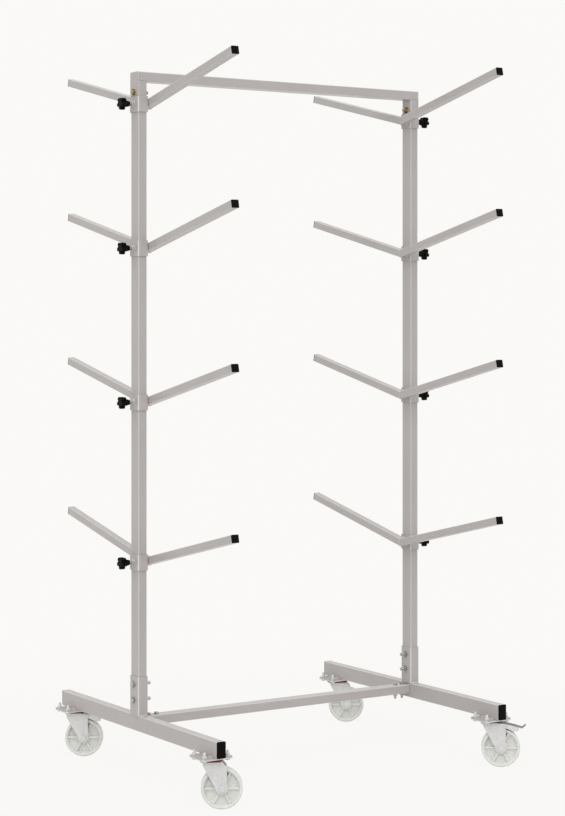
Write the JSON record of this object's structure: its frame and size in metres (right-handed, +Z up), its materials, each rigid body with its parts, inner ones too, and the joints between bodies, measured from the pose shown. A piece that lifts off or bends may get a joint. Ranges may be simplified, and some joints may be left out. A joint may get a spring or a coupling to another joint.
{
  "type": "mobile display rack with adjustable arms",
  "caption": "Free-standing retail rack on swivel casters: a portal of rectangular tube whose posts carry sliding clamp collars with V-shaped pairs of upward arms, fixed by star knobs.",
  "frame": {"origin": "on the floor, under the middle of the rack", "axes": "+X along the top bar and lower bar, -Y towards the front arms, +Z up along the posts"},
  "size_m": [1.2302, 1.0648, 2.2682],
  "materials": {
    "grey_paint": "light grey powder coat, satin",
    "black_plastic": "moulded black plastic, fine grain",
    "zinc_plate": "bright zinc plate",
    "yellow_zinc": "yellow passivated zinc plate",
    "white_nylon": "moulded natural nylon, slightly translucent",
    "red_seal": "red-brown moulded seal"
  },
  "bodies": {
    "frame": {"left_foot": "grey_paint", "right_foot": "grey_paint", "left_socket": "grey_paint", "right_socket": "grey_paint", "left_post": "grey_paint", "right_post": "grey_paint", "top_bar": "grey_paint", "top_bar_tabs": "grey_paint", "lower_bar": "grey_paint", "lower_bar_stubs": "grey_paint", "foot_end_plugs": "black_plastic", "top_joint_bolts": "yellow_zinc", "socket_bolts": "zinc_plate", "lower_bar_bolts": "zinc_plate", "caster_bolts": "zinc_plate", "caster_pads": "grey_paint", "caster_plates": "zinc_plate", "kingpins": "zinc_plate", "swivel_balls": "zinc_plate", "swivel_seals": "red_seal"},
    "arm_pair_left_1": {"arm_pair_left_1": "grey_paint", "arm_caps_left_1": "black_plastic"},
    "knob_left_1": {"knob_left_1": "black_plastic"},
    "arm_pair_left_2": {"arm_pair_left_2": "grey_paint", "arm_caps_left_2": "black_plastic"},
    "knob_left_2": {"knob_left_2": "black_plastic"},
    "arm_pair_left_3": {"arm_pair_left_3": "grey_paint", "arm_caps_left_3": "black_plastic"},
    "knob_left_3": {"knob_left_3": "black_plastic"},
    "arm_pair_left_4": {"arm_pair_left_4": "grey_paint", "arm_caps_left_4": "black_plastic"},
    "knob_left_4": {"knob_left_4": "black_plastic"},
    "arm_pair_right_1": {"arm_pair_right_1": "grey_paint", "arm_caps_right_1": "black_plastic"},
    "knob_right_1": {"knob_right_1": "black_plastic"},
    "arm_pair_right_2": {"arm_pair_right_2": "grey_paint", "arm_caps_right_2": "black_plastic"},
    "knob_right_2": {"knob_right_2": "black_plastic"},
    "arm_pair_right_3": {"arm_pair_right_3": "grey_paint", "arm_caps_right_3": "black_plastic"},
    "knob_right_3": {"knob_right_3": "black_plastic"},
    "arm_pair_right_4": {"arm_pair_right_4": "grey_paint", "arm_caps_right_4": "black_plastic"},
    "knob_right_4": {"knob_right_4": "black_plastic"},
    "fork_front_left": {"fork_front_left": "zinc_plate", "axle_front_left": "zinc_plate"},
    "wheel_front_left": {"wheel_front_left": "white_nylon"},
    "fork_front_right": {"fork_front_right": "zinc_plate", "axle_front_right": "zinc_plate"},
    "wheel_front_right": {"wheel_front_right": "white_nylon"},
    "brake_pedal_front_right": {"brake_pedal_front_right": "zinc_plate"},
    "fork_back_left": {"fork_back_left": "zinc_plate", "axle_back_left": "zinc_plate"},
    "wheel_back_left": {"wheel_back_left": "white_nylon"},
    "brake_pedal_back_left": {"brake_pedal_back_left": "zinc_plate"},
    "fork_back_right": {"fork_back_right": "zinc_plate", "axle_back_right": "zinc_plate"},
    "wheel_back_right": {"wheel_back_right": "white_nylon"}
  },
  "joints": [
    {"name": "collar_slide_left_1", "type": "slide", "parent": "frame", "child": "arm_pair_left_1", "axis": [0, 0, 1], "range_m": [-0.32, 0.22]},
    {"name": "knob_turn_left_1", "type": "hinge", "parent": "arm_pair_left_1", "child": "knob_left_1", "pos_m": [-0.58, 0, 0.691], "axis": [-1, 0, 0], "range_deg": [-70, 360]},
    {"name": "collar_slide_left_2", "type": "slide", "parent": "frame", "child": "arm_pair_left_2", "axis": [0, 0, 1], "range_m": [-0.22, 0.21]},
    {"name": "knob_turn_left_2", "type": "hinge", "parent": "arm_pair_left_2", "child": "knob_left_2", "pos_m": [-0.58, 0, 1.196], "axis": [-1, 0, 0], "range_deg": [-70, 360]},
    {"name": "collar_slide_left_3", "type": "slide", "parent": "frame", "child": "arm_pair_left_3", "axis": [0, 0, 1], "range_m": [-0.21, 0.2]},
    {"name": "knob_turn_left_3", "type": "hinge", "parent": "arm_pair_left_3", "child": "knob_left_3", "pos_m": [-0.58, 0, 1.682], "axis": [-1, 0, 0], "range_deg": [-70, 360]},
    {"name": "collar_slide_left_4", "type": "slide", "parent": "frame", "child": "arm_pair_left_4", "axis": [0, 0, 1], "range_m": [-0.195, 0]},
    {"name": "knob_turn_left_4", "type": "hinge", "parent": "arm_pair_left_4", "child": "knob_left_4", "pos_m": [-0.58, 0, 2.137], "axis": [-1, 0, 0], "range_deg": [-70, 360]},
    {"name": "collar_slide_right_1", "type": "slide", "parent": "frame", "child": "arm_pair_right_1", "axis": [0, 0, 1], "range_m": [-0.32, 0.22]},
    {"name": "knob_turn_right_1", "type": "hinge", "parent": "arm_pair_right_1", "child": "knob_right_1", "pos_m": [0.58, 0, 0.691], "axis": [1, 0, 0], "range_deg": [-70, 360]},
    {"name": "collar_slide_right_2", "type": "slide", "parent": "frame", "child": "arm_pair_right_2", "axis": [0, 0, 1], "range_m": [-0.22, 0.21]},
    {"name": "knob_turn_right_2", "type": "hinge", "parent": "arm_pair_right_2", "child": "knob_right_2", "pos_m": [0.58, 0, 1.196], "axis": [1, 0, 0], "range_deg": [-70, 360]},
    {"name": "collar_slide_right_3", "type": "slide", "parent": "frame", "child": "arm_pair_right_3", "axis": [0, 0, 1], "range_m": [-0.21, 0.2]},
    {"name": "knob_turn_right_3", "type": "hinge", "parent": "arm_pair_right_3", "child": "knob_right_3", "pos_m": [0.58, 0, 1.682], "axis": [1, 0, 0], "range_deg": [-70, 360]},
    {"name": "collar_slide_right_4", "type": "slide", "parent": "frame", "child": "arm_pair_right_4", "axis": [0, 0, 1], "range_m": [-0.195, 0]},
    {"name": "knob_turn_right_4", "type": "hinge", "parent": "arm_pair_right_4", "child": "knob_right_4", "pos_m": [0.58, 0, 2.137], "axis": [1, 0, 0], "range_deg": [-70, 360]},
    {"name": "swivel_front_left", "type": "hinge", "parent": "frame", "child": "fork_front_left", "pos_m": [-0.532, -0.4425, 0.145], "axis": [0, 0, 1], "continuous": true},
    {"name": "wheel_spin_front_left", "type": "hinge", "parent": "fork_front_left", "child": "wheel_front_left", "pos_m": [-0.50457, -0.45898, 0.0625], "axis": [0.515, 0.8572, 0], "continuous": true},
    {"name": "swivel_front_right", "type": "hinge", "parent": "frame", "child": "fork_front_right", "pos_m": [0.532, -0.4425, 0.145], "axis": [0, 0, 1], "continuous": true},
    {"name": "wheel_spin_front_right", "type": "hinge", "parent": "fork_front_right", "child": "wheel_front_right", "pos_m": [0.55789, -0.46131, 0.0625], "axis": [0.5878, 0.809, 0], "continuous": true},
    {"name": "brake_press_front_right", "type": "hinge", "parent": "fork_front_right", "child": "brake_pedal_front_right", "pos_m": [0.56436, -0.46601, 0.134], "axis": [0.5878, 0.809, 0], "range_deg": [0, 5]},
    {"name": "swivel_back_left", "type": "hinge", "parent": "frame", "child": "fork_back_left", "pos_m": [-0.532, 0.4425, 0.145], "axis": [0, 0, 1], "continuous": true},
    {"name": "wheel_spin_back_left", "type": "hinge", "parent": "fork_back_left", "child": "wheel_back_left", "pos_m": [-0.50547, 0.42461, 0.0625], "axis": [0.5592, 0.829, 0], "continuous": true},
    {"name": "brake_press_back_left", "type": "hinge", "parent": "fork_back_left", "child": "brake_pedal_back_left", "pos_m": [-0.49884, 0.42013, 0.134], "axis": [0.5592, 0.829, 0], "range_deg": [0, 5]},
    {"name": "swivel_back_right", "type": "hinge", "parent": "frame", "child": "fork_back_right", "pos_m": [0.532, 0.4425, 0.145], "axis": [0, 0, 1], "continuous": true},
    {"name": "wheel_spin_back_right", "type": "hinge", "parent": "fork_back_right", "child": "wheel_back_right", "pos_m": [0.55914, 0.42554, 0.0625], "axis": [0.5299, 0.848, 0], "continuous": true}
  ]
}
